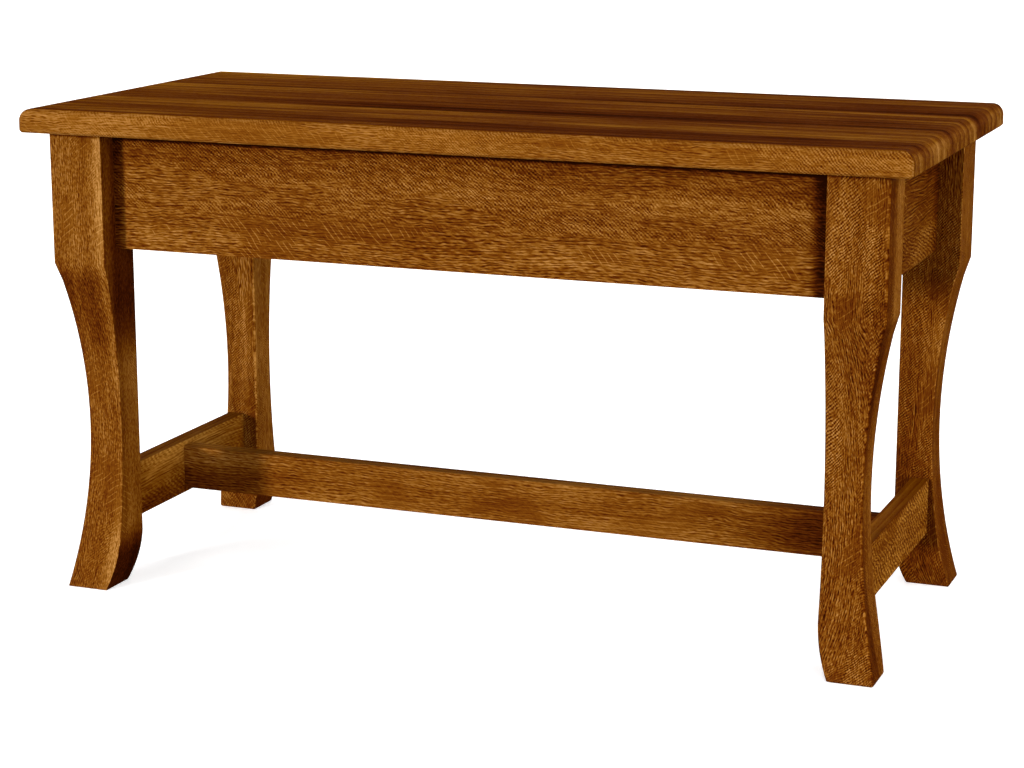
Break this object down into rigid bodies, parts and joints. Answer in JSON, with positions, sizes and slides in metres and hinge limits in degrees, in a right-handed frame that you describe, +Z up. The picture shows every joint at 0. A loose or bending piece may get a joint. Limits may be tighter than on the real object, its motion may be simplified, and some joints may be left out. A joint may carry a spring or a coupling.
{
  "type": "bench bed",
  "caption": "Low oak bench with a flat rounded-edge seat, set-back aprons, hollow-backed sabre legs and an H-shaped stretcher.",
  "frame": {"origin": "on the floor, under the centre of the seat", "axes": "+X along the seat, -Y the front, +Z up"},
  "size_m": [0.914, 0.426, 0.505],
  "materials": {
    "oak_seat": "brown stained quartersawn oak, satin lacquer",
    "oak_leg": "brown stained quartersawn oak, satin lacquer",
    "oak_rail": "brown stained quartersawn oak, satin lacquer",
    "oak_block": "brown stained oak, unpolished",
    "zinc_steel": "zinc plated"
  },
  "bodies": {
    "root": {"seat_board_front": "oak_seat", "seat_board_middle": "oak_seat", "seat_board_back": "oak_seat", "leg_front_left": "oak_leg", "leg_front_right": "oak_leg", "leg_back_left": "oak_leg", "leg_back_right": "oak_leg", "apron_front": "oak_rail", "apron_back": "oak_rail", "apron_left": "oak_rail", "apron_right": "oak_rail", "stretcher_left": "oak_rail", "stretcher_right": "oak_rail", "stretcher_centre": "oak_rail", "corner_block_front_left": "oak_block", "corner_block_front_right": "oak_block", "corner_block_back_left": "oak_block", "corner_block_back_right": "oak_block", "corner_block_screws": "zinc_steel", "seat_clips": "zinc_steel", "seat_clip_screws": "zinc_steel"}
  },
  "joints": []
}
